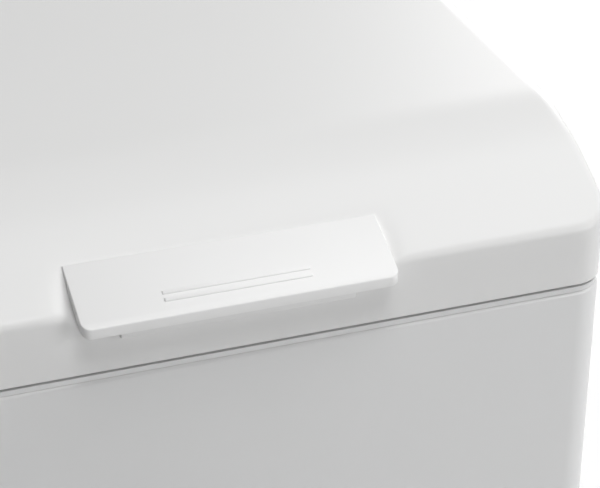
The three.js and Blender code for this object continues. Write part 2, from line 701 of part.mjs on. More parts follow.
// Bucket: a tall open box with a rim and two hand holes.
const bucketTube = (grow, z) =>
  alongZ(
    plan(
      [-CHUTE_HALF - BUCKET_CLEAR - grow, CHUTE_HALF + BUCKET_CLEAR + grow],
      [CHUTE_FRONT - BUCKET_CLEAR - grow, CHUTE_REAR + BUCKET_CLEAR + grow],
      14 + grow,
      14 + grow,
    ),
    z,
    3,
  );
const bucket = cut(
  join(
    bucketTube(BUCKET_WALL, [BUCKET_Z, BUCKET_TOP]),
    bucketTube(BUCKET_WALL + RIM_OUT, [BUCKET_TOP - 4, BUCKET_TOP]),
  ),
  bucketTube(0, [BUCKET_Z + BUCKET_WALL, BUCKET_TOP + 1]),
  block([-HALF, HALF], [COLUMN_Y - 45, COLUMN_Y + 45], [BUCKET_TOP - 60, BUCKET_TOP - 30]),
);
put(machine, "bucket", bucket, grey_plastic);

// ---- Hinge brackets and pins, on the cabinet ----
for (const [side, s] of sides) {
  const x = pair(s, BRACKET_X, BRACKET_X + BRACKET_T);
  const foot = COLLAR_TOP + GAP;
  const axisZ = SEAM_Z + HINGE_Z;
  const body = join(
    block(x, [HINGE_Y - KNUCKLE_R + 1, HINGE_Y + KNUCKLE_R - 1], [foot, axisZ]),
    block(pair(s, BRACKET_X - 12, BRACKET_X + BRACKET_T), [HINGE_Y - 8, HINGE_Y + 8], [foot, foot + 3]),
    rodX(HINGE_Y, axisZ, KNUCKLE_R, x),
  );
  put(machine, `hinge_bracket_${side}`, cut(body, rodX(HINGE_Y, axisZ, PIN_R + GAP, [-HALF, HALF])), zinc);
  const pin = join(
    rodX(HINGE_Y, axisZ, PIN_R, pair(s, BRACKET_X - 3, BRACKET_X + BRACKET_T + ARM_T + 5)),
    rodX(HINGE_Y, axisZ, PIN_R + 2.5, pair(s, BRACKET_X - 5, BRACKET_X - 1)),
  );
  put(machine, `hinge_pin_${side}`, pin, dark_steel);
}

// ---- Console behind the lid ----
const top = new THREE.Group();
top.position.z = SEAM_Z;
machine.add(top);
const CONSOLE_Y = [LID_DEPTH + 2.5, DEPTH];
const CONSOLE_FOOT = GAP - SEAM / 2;
const consoleBody = (inset, bottom) =>
  alongZ(
    plan([-HALF + inset, HALF - inset], [CONSOLE_Y[0] + inset, CONSOLE_Y[1] - inset], 0, CORNER_R - inset),
    [bottom, CROWN - inset],
    8,
  ).intersect(alongY(shoulders(inset, bottom - 1), [LID_DEPTH, DEPTH + 1]));
const CONTROL_Y = (CONSOLE_Y[0] + CONSOLE_Y[1]) / 2 + 2;
const START_X = -44;
const STOP_X = 0;
const KNOB_X = 52;
const LENS_X = -84;
const BUTTON_R = 12;
const KNOB_R = 17;
const STEM_R = 4;
const BUTTON_OUT = 3;
const topHole = (x, r) => rodZ(x, CONTROL_Y, r, [CROWN - 10, CROWN + 10]);
put(
  top,
  "console_housing",
  cut(
    consoleBody(0, CONSOLE_FOOT),
    consoleBody(PLASTIC, CONSOLE_FOOT - 1),
    topHole(START_X, BUTTON_R + RUN),
    topHole(STOP_X, BUTTON_R + RUN),
    topHole(KNOB_X, STEM_R + RUN),
    topHole(LENS_X, STEM_R + GAP),
  ),
  white_gloss,
);
for (const [name, x] of [["start_button", START_X], ["stop_button", STOP_X]]) {
  const cap = join(
    rodZ(x, CONTROL_Y, BUTTON_R, [CROWN - 8, CROWN + BUTTON_OUT]),
    rodZ(x, CONTROL_Y, BUTTON_R + 2, [CROWN - 9, CROWN - PLASTIC - GAP]),
  );
  put(top, name, cap, grey_plastic);
}
put(top, "status_lens", rodZ(LENS_X, CONTROL_Y, STEM_R, [CROWN - 8, CROWN + 1]), lens_green);
const BOARD_Z = [CROWN - 26, CROWN - 24];
put(top, "control_board", block([-120, 84], [CONTROL_Y - 42, CONTROL_Y + 46], BOARD_Z), board_green);
const SWITCH_Z = [BOARD_Z[1] + GAP, CROWN - PLASTIC - 2];
put(
  top,
  "key_switch",
  cut(
    block([KNOB_X - 11, KNOB_X + 11], [CONTROL_Y - 11, CONTROL_Y + 11], SWITCH_Z),
    rodZ(KNOB_X, CONTROL_Y, STEM_R + RUN, [SWITCH_Z[0] + 3, CROWN]),
  ),
  black_plastic,
);
const knobZ = CROWN + 1;
const knob = join(
  rodZ(KNOB_X, CONTROL_Y, STEM_R, [SWITCH_Z[0] + 4, knobZ + 1]),
  rodZ(KNOB_X, CONTROL_Y, KNOB_R, [knobZ, knobZ + 5], 10),
  block([KNOB_X - 3.5, KNOB_X + 3.5], [CONTROL_Y - KNOB_R + 1, CONTROL_Y + KNOB_R - 1], [knobZ + 4, knobZ + 14]),
);
put(top, "key_knob", knob, black_plastic);

export default part;
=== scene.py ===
import math

import bmesh
import bpy
from mathutils import Matrix, Vector


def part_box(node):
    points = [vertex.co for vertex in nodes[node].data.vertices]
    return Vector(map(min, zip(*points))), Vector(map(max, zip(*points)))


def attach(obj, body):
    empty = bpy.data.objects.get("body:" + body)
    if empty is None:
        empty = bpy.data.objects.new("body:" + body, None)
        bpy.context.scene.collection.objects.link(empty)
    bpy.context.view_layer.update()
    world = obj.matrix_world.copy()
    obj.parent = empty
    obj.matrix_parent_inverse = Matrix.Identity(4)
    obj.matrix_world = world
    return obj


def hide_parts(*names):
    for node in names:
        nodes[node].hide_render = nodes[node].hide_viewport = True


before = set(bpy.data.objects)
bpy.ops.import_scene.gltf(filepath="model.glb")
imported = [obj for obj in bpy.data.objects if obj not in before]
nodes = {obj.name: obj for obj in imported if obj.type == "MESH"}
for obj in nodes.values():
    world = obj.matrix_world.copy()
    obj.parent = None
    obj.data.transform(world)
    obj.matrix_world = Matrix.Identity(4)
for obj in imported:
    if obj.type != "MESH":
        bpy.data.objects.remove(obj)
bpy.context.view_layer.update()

MM = 0.001
SAME = 1e-6  # points closer than this, in metres, count as one

# ---- Sizes taken from the frame, in metres ----
front_low, front_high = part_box("drawer_front")
lid_low, lid_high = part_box("lid_shell")
collar_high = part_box("top_collar")[1]
HALF = front_high.x
FRONT = front_low.y
SEAM = (lid_low.z + collar_high.z) / 2  # half way up the gap between the lid and the collar
CROWN = lid_high.z - SEAM
LID_DEPTH = lid_high.y - lid_low.y
LID_REAR = FRONT + LID_DEPTH
CORNER = 17 * MM
CORNER_STEPS = 14
MOULDED_WALL = 2.8 * MM
SHEET_WALL = 1.5 * MM


def machine(x, y, z):
    """A point x from the middle, y behind the front face and z above the seam, in millimetres."""
    return Vector((x * MM, FRONT + y * MM, SEAM + z * MM))


# ---- Finishes ----
COAT_ROUGHNESS = 0.12
GLOSS_SPREAD = 0.04  # how far the roughness wanders either way
SPANGLE_SCALE = 160
SPECK_SCALE = 420
SPECK_COLOR = (0.55, 0.54, 0.52, 1)
SPECK_FROM, SPECK_FULL = 0.68, 0.8  # the noise levels at which dust begins and is whole
GRAIN_HEIGHT = 0.2 * MM


def link(tree, a, b):
    tree.links.new(a, b)


def finish(name, color, rough, metal=0.0, mottle=0.02, scale=9.0, grain=0.0, grain_scale=900.0,
           stretch=(1, 1, 1), coat=0.0, spangle=0.0, dust=0.0):
    """A surface with slow colour drift, uneven gloss and a fine grain."""
    material = bpy.data.materials.new(name)
    material.use_nodes = True
    tree = material.node_tree
    surface = tree.nodes["Principled BSDF"]
    surface.inputs["Metallic"].default_value = metal
    surface.inputs["Coat Weight"].default_value = coat
    surface.inputs["Coat Roughness"].default_value = COAT_ROUGHNESS
    place = tree.nodes.new("ShaderNodeTexCoord")
    stretched = tree.nodes.new("ShaderNodeMapping")
    stretched.inputs["Scale"].default_value = stretch
    link(tree, place.outputs["Object"], stretched.inputs["Vector"])
    drift = tree.nodes.new("ShaderNodeTexNoise")
    drift.inputs["Scale"].default_value = scale
    drift.inputs["Detail"].default_value = 5
    link(tree, stretched.outputs["Vector"], drift.inputs["Vector"])
    shade = tree.nodes.new("ShaderNodeMix")
    shade.data_type = "RGBA"
    shade.inputs["A"].default_value = (*[c * (1 - mottle) for c in color], 1)
    shade.inputs["B"].default_value = (*[min(1, c * (1 + mottle)) for c in color], 1)
    link(tree, drift.outputs["Fac"], shade.inputs["Factor"])
    tint = shade.outputs["Result"]
    if spangle:
        cells = tree.nodes.new("ShaderNodeTexVoronoi")
        cells.inputs["Scale"].default_value = SPANGLE_SCALE
        link(tree, place.outputs["Object"], cells.inputs["Vector"])
        grey = tree.nodes.new("ShaderNodeRGBToBW")
        link(tree, cells.outputs["Color"], grey.inputs["Color"])
        plated = tree.nodes.new("ShaderNodeMix")
        plated.data_type = "RGBA"
        plated.blend_type = "MULTIPLY"
        plated.inputs["Factor"].default_value = spangle
        link(tree, tint, plated.inputs["A"])
        link(tree, grey.outputs["Val"], plated.inputs["B"])
        tint = plated.outputs["Result"]
    if dust:
        specks = tree.nodes.new("ShaderNodeTexNoise")
        specks.inputs["Scale"].default_value = SPECK_SCALE
        specks.inputs["Detail"].default_value = 2
        link(tree, place.outputs["Object"], specks.inputs["Vector"])
        few = tree.nodes.new("ShaderNodeMapRange")
        few.inputs["From Min"].default_value = SPECK_FROM
        few.inputs["From Max"].default_value = SPECK_FULL
        few.inputs["To Max"].default_value = dust
        link(tree, specks.outputs["Fac"], few.inputs["Value"])
        dusty = tree.nodes.new("ShaderNodeMix")
        dusty.data_type = "RGBA"
        dusty.inputs["B"].default_value = SPECK_COLOR
        link(tree, few.outputs["Result"], dusty.inputs["Factor"])
        link(tree, tint, dusty.inputs["A"])
        tint = dusty.outputs["Result"]
    link(tree, tint, surface.inputs["Base Color"])
    gloss = tree.nodes.new("ShaderNodeMapRange")
    gloss.inputs["To Min"].default_value = rough - GLOSS_SPREAD
    gloss.inputs["To Max"].default_value = rough + GLOSS_SPREAD
    link(tree, drift.outputs["Fac"], gloss.inputs["Value"])
    link(tree, gloss.outputs["Result"], surface.inputs["Roughness"])
    if grain:
        fine = tree.nodes.new("ShaderNodeTexNoise")
        fine.inputs["Scale"].default_value = grain_scale
        fine.inputs["Detail"].default_value = 3
        link(tree, stretched.outputs["Vector"], fine.inputs["Vector"])
        relief = tree.nodes.new("ShaderNodeBump")
        relief.inputs["Strength"].default_value = grain
        relief.inputs["Distance"].default_value = GRAIN_HEIGHT
        link(tree, fine.outputs["Fac"], relief.inputs["Height"])
        link(tree, relief.outputs["Normal"], surface.inputs["Normal"])
    return material


lid_plastic = finish("lid_plastic", (0.85, 0.85, 0.845), 0.42, mottle=0.006, scale=5, grain=0.05, grain_scale=260)
handle_plastic = finish("handle_plastic", (0.93, 0.93, 0.926), 0.42, mottle=0.008, scale=14, grain=0.08,
                        grain_scale=500)
enamel = finish("white_enamel", (0.8, 0.803, 0.803), 0.34, mottle=0.008, scale=4, grain=0.12, grain_scale=190,
                coat=0.3)
liner_plastic = finish("liner_plastic", (0.74, 0.75, 0.76), 0.5, mottle=0.02, grain=0.15, grain_scale=700, dust=0.1)
zinc = finish("zinc_plate", (0.62, 0.64, 0.66), 0.36, metal=1, mottle=0.08, scale=30, grain=0.1, spangle=0.25)
brushed = finish("brushed_steel", (0.6, 0.61, 0.62), 0.3, metal=1, mottle=0.1, scale=22, grain=0.4,
                 grain_scale=260, stretch=(1, 14, 1))
machined = finish("machined_tube", (0.56, 0.58, 0.6), 0.28, metal=1, mottle=0.08, scale=18, grain=0.3,
                  grain_scale=220, stretch=(12, 12, 1))
black_paint = finish("black_paint", (0.035, 0.036, 0.039), 0.42, mottle=0.2, scale=26, grain=0.4, dust=0.08)
black_plastic = finish("black_plastic", (0.03, 0.03, 0.032), 0.5, mottle=0.15, scale=34, grain=0.5)
rubber = finish("rubber", (0.028, 0.028, 0.03), 0.78, mottle=0.2, scale=40, grain=0.6, dust=0.12)
grey_plastic = finish("grey_plastic", (0.36, 0.37, 0.385), 0.46, mottle=0.04, scale=12, grain=0.5, grain_scale=650)
button_grey = finish("button_grey", (0.5, 0.51, 0.52), 0.38, mottle=0.02, scale=60, grain=0.3)
stop_red = finish("stop_red", (0.5, 0.05, 0.04), 0.36, mottle=0.04, scale=60, grain=0.3)
lens_green = finish("lens_green", (0.12, 0.5, 0.2), 0.15, mottle=0.1, scale=90, coat=1)
board_green = finish("board_green", (0.03, 0.16, 0.07), 0.35, mottle=0.3, scale=60, grain=0.4, coat=0.4)


# ---- Making pieces ----
def settle(name, shape, look, body, replaced=(), wall=0.0, soften=0.0, angle=35, weld=True):
    """Turns a bmesh into a finished piece that rides on its body; a wall thickens it inwards."""
    if weld:
        bmesh.ops.remove_doubles(shape, verts=shape.verts, dist=SAME)
    bmesh.ops.recalc_face_normals(shape, faces=shape.faces)
    if wall:
        side = max((f for f in shape.faces if abs(f.normal.x) > 0.9), key=lambda f: f.calc_area())
        if side.normal.x * side.calc_center_median().x < 0:
            bmesh.ops.reverse_faces(shape, faces=shape.faces)
    mesh = bpy.data.meshes.new(name)
    shape.to_mesh(mesh)
    shape.free()
    made = bpy.data.objects.new(name, mesh)
    bpy.context.scene.collection.objects.link(made)
    mesh.materials.append(look)
    for face in mesh.polygons:
        face.use_smooth = True
    if wall:
        thick = made.modifiers.new("wall", "SOLIDIFY")
        thick.thickness = wall
        thick.offset = -1
        thick.use_even_offset = True
    if soften:
        edge = made.modifiers.new("edge", "BEVEL")
        edge.width = soften
        edge.segments = 3
        edge.limit_method = "ANGLE"
        edge.angle_limit = math.radians(angle)
        edge.harden_normals = True
    mesh.set_sharp_from_angle(angle=math.radians(angle))
    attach(made, body)
    if replaced:
        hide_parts(*replaced)


def flat_block(shape, low, high):
    """Adds a box between two corners and returns its vertices."""
    made = bmesh.ops.create_cube(shape, size=1)["verts"]
    middle = (low + high) / 2
    size = high - low
    bmesh.ops.scale(shape, vec=size, verts=made)
    bmesh.ops.translate(shape, vec=middle, verts=made)
    return made


def edges_where(shape, test, verts=None):
    """The edges whose two ends pass a test, of the whole shape or of some of its vertices."""
    kept = set(verts) if verts else None
    return [
        e for e in shape.edges
        if (kept is None or (e.verts[0] in kept and e.verts[1] in kept)) and test(e.verts[0].co, e.verts[1].co)
    ]


def round_edges(shape, edges, radius, segments):
    bmesh.ops.bevel(shape, geom=edges, offset=radius, segments=segments, profile=0.5, affect="EDGES", material=-1)


def upright(a, b):
    return abs(a.x - b.x) < SAME and abs(a.y - b.y) < SAME


def level(a, b):
    return abs(a.z - b.z) < SAME


def turned(shape, profile, at, sides=32, ring=False):
    """Turns a profile of (radius, height) points, in millimetres, about the upright line through a place."""
    before = set(shape.verts)
    line = [shape.verts.new((r * MM, 0, h * MM)) for r, h in profile]
    edges = [shape.edges.new(pair) for pair in zip(line, line[1:] + line[:1] if ring else line[1:])]
    bmesh.ops.spin(shape, geom=line + edges, cent=(0, 0, 0), axis=(0, 0, 1), angle=math.tau, steps=sides,
                   use_merge=True, use_duplicate=False)
    bmesh.ops.remove_doubles(shape, verts=[v for v in shape.verts if v not in before], dist=SAME)
    bmesh.ops.translate(shape, verts=[v for v in shape.verts if v not in before], vec=at)


def screw_head(shape, at, radius, height):
    """Adds a domed screw head with a driver recess, its seat on a level surface."""
    turned(shape, [(0, height * 0.45), (radius * 0.28, height * 0.45), (radius * 0.42, height), (radius * 0.62, height),
                   (radius * 0.9, height * 0.6), (radius, height * 0.12), (radius, -0.3), (0, -0.3)], at, 20)


def raised_bar(shape, low, high, soft, way="z"):
    """Adds a bar whose outer edges are softened, as a moulded or pressed rib has."""
    bar = flat_block(shape, low, high)
    far = {"z": high.z, "-z": low.z, "y": high.y, "-y": low.y}[way]
    axis = way[-1]

    def outer(a, b):
        return all(abs(getattr(end, axis) - far) < SAME for end in (a, b))

    round_edges(shape, edges_where(shape, outer, bar), soft, 3)


# ---- Crowned mouldings: the lid and the console ----
def ease(a, b, t):
    t = max(0.0, min(1.0, (t - a) / (b - a)))
    return t * t * (3 - 2 * t)


def steps(width, fine, coarse):
    """Distances from an edge, close together near it and wider apart further in, up to half the width."""
    out = list(fine)
    while out[-1] + coarse < width / 2:
        out.append(out[-1] + coarse)
    return out


FINE = [v * MM for v in (0, 0.2, 0.5, 0.9, 1.4, 2, 2.8, 3.8, 5, 6.4, 8, 10, 12.5, 15.5, 19, 23, 28)]
COARSE_X, COARSE_Y = 7 * MM, 6 * MM
CLOSEST = 0.04 * MM


def both_ends(low, high, coarse, extra=()):
    """Grid lines from one end to the other, fine near both ends, with extra ones let in."""
    near = steps(high - low, FINE, coarse)
    values = [low + d for d in near] + [high - d for d in near] + list(extra)
    values.sort()
    kept = [values[0]]
    for v in values[1:]:
        if v - kept[-1] > CLOSEST:
            kept.append(v)
    return kept


def rounded(x, y, box, front_r, rear_r):
    """Moves a point of a square-cornered plan to where it lies in the one with round corners."""
    (x0, y0), (x1, y1) = box
    for corner_x, sx in ((x0, 1), (x1, -1)):
        for corner_y, sy, r in ((y0, 1, front_r), (y1, -1, rear_r)):
            if r <= 0:
                continue
            u = 1 - sx * (x - corner_x) / r
            v = 1 - sy * (y - corner_y) / r
            if u > 0 and v > 0:
                pull = max(u, v) / math.hypot(u, v)
                return (corner_x + sx * r * (1 - u * pull), corner_y + sy * r * (1 - v * pull))
    return x, y


def depth_inside(x, y, box, front_r, rear_r):
    """Distance from a point of the plan to its outline."""
    (x0, y0), (x1, y1) = box
    side = min(x - x0, x1 - x)
    for end, r in ((y - y0, front_r), (y1 - y, rear_r)):
        if r > 0 and side < r and end < r:
            return r - math.hypot(r - side, r - end)
    return min(side, y - y0, y1 - y)


def moulding(box, front_r, rear_r, crown_at, edge_r, skirt_at, xs, ys):
    """A crowned skin over a plan with round corners, its walls turned down to the skirt."""
    shape = bmesh.new()
    bmesh.ops.create_grid(shape, x_segments=len(xs) - 1, y_segments=len(ys) - 1, size=1)
    for v in shape.verts:
        i = round((v.co.x + 1) / 2 * (len(xs) - 1))
        j = round((v.co.y + 1) / 2 * (len(ys) - 1))
        x, y = rounded(xs[i], ys[j], box, front_r, rear_r)
        inside = max(0.0, depth_inside(x, y, box, front_r, rear_r))
        r = edge_r(x, y)
        roll = max(0.0, 1 - inside / r)
        v.co = (x, y, crown_at(x, y) - r * (1 - math.sqrt(max(0.0, 1 - roll * roll))))
    rim = [e for e in shape.edges if e.is_boundary]
    for share in (0.35, 0.72, 1.0):
        walls = bmesh.ops.extrude_edge_only(shape, edges=rim)["geom"]
        rim = [g for g in walls if isinstance(g, bmesh.types.BMEdge)]
        for v in {v for e in rim for v in e.verts}:
            foot = skirt_at(v.co.x, v.co.y)
            v.co.z = v.co.z + (foot - v.co.z) * share if share < 1 else foot
    return shape


def lower_of(a, b, blend):
    """The smaller of two heights, with a soft change from one to the other."""
    overlap = max(0.0, blend - abs(a - b))
    return min(a, b) - overlap * overlap / (4 * blend)


# ---- Lid ----
FACET_Z = 32 * MM  # where the sloping front would meet the upright front
FACET_SLOPE = math.tan(math.radians(30))
BEND_Y = 44 * MM  # how far back the slope eases into the rise
RISE_SLOPE = 0.35
BEND_BLEND, CROWN_BLEND = 2 * MM, 4 * MM
HANDLE_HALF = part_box("lid_handle")[1].x
SCOOP = 8 * MM  # the lid's front is hollowed this deep under the handle
SCOOP_BACK = 27 * MM
SCOOP_INSIDE, SCOOP_OUTSIDE = 3 * MM, 4.5 * MM  # where its ends fade, either side of the handle's
EDGE_FRONT, EDGE_GROWS = 3, 5  # the edge's radius at the front and what it gains further back, in millimetres
EDGE_GROWS_FROM, EDGE_GROWS_TO = 12 * MM, 75 * MM
REAR_NOSE = 14 * MM
REAR_SKIRT = 8 * MM  # the rear wall stops short, clear of the collar as it swings
NOTCH = (148 * MM, 156 * MM)  # the notches let the hinge brackets through the rear wall
NOTCH_DEPTH = 13 * MM
NOTCH_TOP = 64 * MM


def lid_crown(x, y):
    behind = y - FRONT
    facet = FACET_Z + FACET_SLOPE * behind
    rise = FACET_Z + FACET_SLOPE * BEND_Y + RISE_SLOPE * (behind - BEND_Y)
    beside = ease(HANDLE_HALF - SCOOP_INSIDE, HANDLE_HALF + SCOOP_OUTSIDE, abs(x))
    scoop = SCOOP * (1 - beside) * (1 - ease(0, SCOOP_BACK, behind))
    return SEAM + lower_of(lower_of(facet, rise, BEND_BLEND), CROWN, CROWN_BLEND) - scoop


def lid_edge(x, y):
    behind = y - FRONT
    side = (EDGE_FRONT + EDGE_GROWS * ease(EDGE_GROWS_FROM, EDGE_GROWS_TO, behind)) * MM
    rear = ease(LID_DEPTH - 2.5 * REAR_NOSE, LID_DEPTH - REAR_NOSE, behind)
    return side + (REAR_NOSE - side) * rear


def lid_skirt(x, y):
    return SEAM + (REAR_SKIRT if y > LID_REAR - REAR_NOSE + 0.05 * MM else lid_low.z - SEAM)


lid_xs = both_ends(-HALF, HALF, COARSE_X, [s * x for s in (-1, 1) for x in NOTCH])
lid_ys = both_ends(FRONT, LID_REAR, COARSE_Y, [LID_REAR - REAR_NOSE, LID_REAR - REAR_NOSE + 0.1 * MM])
lid_box = ((-HALF, FRONT), (HALF, LID_REAR))
lid = moulding(lid_box, CORNER, 0, lid_crown, lid_edge, lid_skirt, lid_xs, lid_ys)
notched = []
for face in lid.faces:
    centre = face.calc_center_median()
    if NOTCH[0] < abs(centre.x) < NOTCH[1] and centre.y > LID_REAR - NOTCH_DEPTH and centre.z < SEAM + NOTCH_TOP:
        notched.append(face)
bmesh.ops.delete(lid, geom=notched, context="FACES")
settle("lid_moulding", lid, lid_plastic, "lid", ["lid_shell"], wall=MOULDED_WALL, soften=0.5 * MM,
       angle=50)

# ---- Handle ----
HANDLE_TILT = math.radians(22.5)
HANDLE_BACK = machine(0, 22.5, 45.6)  # the middle of the plate's top back edge
PLATE_DROP = 4.7 * MM / math.cos(HANDLE_TILT)  # its thickness measured straight down
GRIP_SHARES = (0.65, 0.76)  # where the grip ribs lie, from the plate's back to its front
GRIP_LENGTH, GRIP_WIDTH, GRIP_HEIGHT = 70 * MM, 1.8 * MM, 0.62 * MM

plate = bmesh.new()
handle_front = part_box("lid_handle")[0].y
flat_block(plate, Vector((-HANDLE_HALF, handle_front, -PLATE_DROP)), Vector((HANDLE_HALF, HANDLE_BACK.y, 0)))
round_edges(plate, edges_where(plate, lambda a, b: upright(a, b) and a.y < handle_front + SAME), 4.5 * MM, 8)
round_edges(plate, edges_where(plate, lambda a, b: level(a, b) and a.z > -SAME), 0.5 * MM, 3)
round_edges(plate, edges_where(plate, lambda a, b: level(a, b) and a.z < -PLATE_DROP + SAME), 0.4 * MM, 2)
for share in GRIP_SHARES:
    y = HANDLE_BACK.y + (handle_front - HANDLE_BACK.y) * share
    raised_bar(plate, Vector((-GRIP_LENGTH / 2, y - GRIP_WIDTH / 2, -0.4 * MM)),
               Vector((GRIP_LENGTH / 2, y + GRIP_WIDTH / 2, GRIP_HEIGHT)), 0.45 * MM)
for v in plate.verts:  # slides the level plate up or down to its slope, which keeps its front upright
    v.co.z += HANDLE_BACK.z + (v.co.y - HANDLE_BACK.y) * math.tan(HANDLE_TILT)
settle("handle_plate", plate, handle_plastic, "lid", ["lid_handle"], weld=False)

MOUNT_HANGS = 3 * MM  # how far the mount reaches below its CAD shape, so that its ends show under the plate

mount = bmesh.new()
mount_low, mount_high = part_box("handle_mount")
flat_block(mount, mount_low, mount_high)
for v in mount.verts:
    in_front = v.co.y < (mount_low.y + mount_high.y) / 2
    if v.co.z < (mount_low.z + mount_high.z) / 2:
        v.co.z -= MOUNT_HANGS
    elif in_front:
        v.co.z -= (mount_high.y - mount_low.y) * math.tan(HANDLE_TILT)
round_edges(mount, edges_where(mount, lambda a, b: min(a.y, b.y) < mount_high.y - 1 * MM), 0.8 * MM, 3)
# The mount is white plastic like the handle; giving it the lid's plastic, darker than the handle's, is painted shade
# for the shadow under the plate.
settle("handle_mount_block", mount, lid_plastic, "lid", ["handle_mount"])

# ---- Body: drawer front and sides ----
FRONT_RISES = 0.4 * MM  # the drawer front's rolled top stands this much over its CAD shape
TOP_ROLL = 2.2 * MM


def bent_sheet(name, low, high, bent, open_faces, body, replaced, rolled=None):
    """A box of sheet: the upright edges that pass bent turn a corner, and the open faces are left out."""
    shape = bmesh.new()
    flat_block(shape, low, high)
    round_edges(shape, edges_where(shape, lambda a, b: upright(a, b) and bent(a)), CORNER, CORNER_STEPS)
    if rolled:
        round_edges(shape, edges_where(shape, rolled), TOP_ROLL, 6)
    bmesh.ops.recalc_face_normals(shape, faces=shape.faces)
    left_out = [f for f in shape.faces if any(f.normal.dot(Vector(n)) > 0.999 for n in open_faces)]
    bmesh.ops.delete(shape, geom=left_out, context="FACES")
    settle(name, shape, enamel, body, [replaced], wall=SHEET_WALL)


middle_y = (front_low.y + front_high.y) / 2
front_top = Vector((front_high.x, front_high.y, front_high.z + FRONT_RISES))


def at_front_top(a, b):
    return min(a.z, b.z) > front_top.z - SAME and min(a.y, b.y) < front_high.y - 1 * MM


bent_sheet("drawer_front_panel", front_low, front_top, lambda a: a.y < middle_y, [(0, 1, 0)], "drawer", "drawer_front",
           rolled=at_front_top)
for side, s in (("left", -1), ("right", 1)):
    low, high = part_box(f"side_panel_{side}")
    bent_sheet(f"side_sheet_{side}", low, high, lambda a: a.y > 0 and a.x * s > HALF - 1 * MM,
               [(0, -1, 0), (0, 0, 1), (0, 0, -1), (-s, 0, 0)], "cabinet", f"side_panel_{side}")

# ---- Console ----
CONSOLE_REAR_EDGE, CONSOLE_FRONT_EDGE = 15, 3  # the edge's radius, in millimetres
CONTROL_HOLE = {"start_button": 12.4 * MM, "stop_button": 12.4 * MM, "status_lens": 4.4 * MM, "key_knob": 4.4 * MM}
HOLE_LINES = [k / 4 for k in range(-4, 5)]  # the grid lines over each hole, as shares of its radius
console_low, console_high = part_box("console_housing")


def control_at(name):
    """The middle of a control's hole, on the console's top."""
    low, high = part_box(name)
    return Vector(((low.x + high.x) / 2, control_y, SEAM + CROWN))


def console_edge(x, y):
    front = 1 - ease(console_low.y + 3 * MM, console_low.y + 20 * MM, y)
    return (CONSOLE_REAR_EDGE - (CONSOLE_REAR_EDGE - CONSOLE_FRONT_EDGE) * front) * MM


def from_middle(point, middle):
    return max(abs(point.x - middle.x), abs(point.y - middle.y))


control_y = (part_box("start_button")[0].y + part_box("start_button")[1].y) / 2
console_xs = both_ends(-HALF, HALF, COARSE_X, [control_at(n).x + r * t for n, r in CONTROL_HOLE.items()
                                               for t in HOLE_LINES])
console_ys = both_ends(console_low.y, console_high.y, COARSE_Y, [control_y + r * t for r in set(CONTROL_HOLE.values())
                                                                 for t in HOLE_LINES])
console_box = ((-HALF, console_low.y), (HALF, console_high.y))
console = moulding(console_box, 0, CORNER, lambda x, y: SEAM + CROWN, console_edge, lambda x, y: console_low.z,
                   console_xs, console_ys)
for name, radius in CONTROL_HOLE.items():
    middle = control_at(name)
    centres = {f: f.calc_center_median() for f in console.faces}
    bored = [f for f, centre in centres.items()
             if centre.z > middle.z - SAME and from_middle(centre, middle) < radius]
    bmesh.ops.delete(console, geom=bored, context="FACES")
    for v in console.verts:
        if v.co.z > middle.z - SAME and from_middle(v.co, middle) < radius + 0.05 * MM:
            away = Vector((v.co.x - middle.x, v.co.y - middle.y, 0))
            v.co = Vector((middle.x, middle.y, v.co.z)) + away.normalized() * radius
settle("console_moulding", console, lid_plastic, "cabinet", ["console_housing"], wall=MOULDED_WALL)

# ---- Controls ----
KNOB_GRIPS = 30
GRIP_CIRCLE = 16.75

for name, body, look in (("start_button", "start", button_grey), ("stop_button", "stop", stop_red)):
    cap = bmesh.new()
    turned(cap, [(0, -9), (13.6, -9), (14, -8.6), (14, -3.6), (12, -3.4), (12, 2.1), (11.7, 2.7), (11, 3),
                 (10, 2.85), (7, 2.35), (3.5, 2.1), (0, 2)], control_at(name), sides=48)
    settle(f"{name}_cap", cap, look, body, [name], weld=False)
bezels = bmesh.new()
for name in ("start_button", "stop_button"):
    turned(bezels, [(12.7, -1.5), (12.7, 0.7), (13, 1), (14.6, 1), (15.8, 0.6), (16.4, 0.05), (16.4, -0.2),
                    (14, -1.5)], control_at(name), sides=48, ring=True)
turned(bezels, [(4.45, -1.5), (4.45, 0.4), (4.7, 0.6), (5.8, 0.5), (6.4, 0.05), (6.4, -0.2), (5.5, -1.5)],
       control_at("status_lens"), ring=True)
settle("control_bezels", bezels, grey_plastic, "cabinet", weld=False)
lens_cap = bmesh.new()
turned(lens_cap, [(0, -8), (4, -8), (4, 0), (3.7, 0.5), (2.9, 0.82), (1.6, 0.96), (0, 1)], control_at("status_lens"))
settle("status_lens_cap", lens_cap, lens_green, "cabinet", ["status_lens"], weld=False)

knob = bmesh.new()
knob_at = control_at("key_knob")
turned(knob, [(0, -14), (3.6, -14), (4, -13.6), (4, 1.2), (16.4, 1.2), (17, 1.8), (17, 5), (16.6, 5.7), (15.8, 6),
              (0, 6)], knob_at, sides=60)
for k in range(KNOB_GRIPS):
    turn = math.tau * k / KNOB_GRIPS
    grip_at = knob_at + Vector((GRIP_CIRCLE * math.cos(turn), GRIP_CIRCLE * math.sin(turn), 1.9)) * MM
    turned(knob, [(0, 0), (0.55, 0), (0.55, 3), (0, 3)], grip_at, sides=8)
bar = flat_block(knob, knob_at + Vector((-3.6, -15.8, 5.5)) * MM, knob_at + Vector((3.6, 15.8, 14.9)) * MM)
round_edges(knob, edges_where(knob, lambda a, b: max(a.z, b.z) > knob_at.z + 10 * MM, bar), 1.5 * MM, 4)
settle("key_knob_grip", knob, black_plastic, "key", ["key_knob"], weld=False)
pointer = bmesh.new()
raised_bar(pointer, knob_at + Vector((-0.7, -13.5, 14.7)) * MM, knob_at + Vector((0.7, -5, 15)) * MM, 0.12 * MM)
settle("key_knob_pointer", pointer, handle_plastic, "key", weld=False)

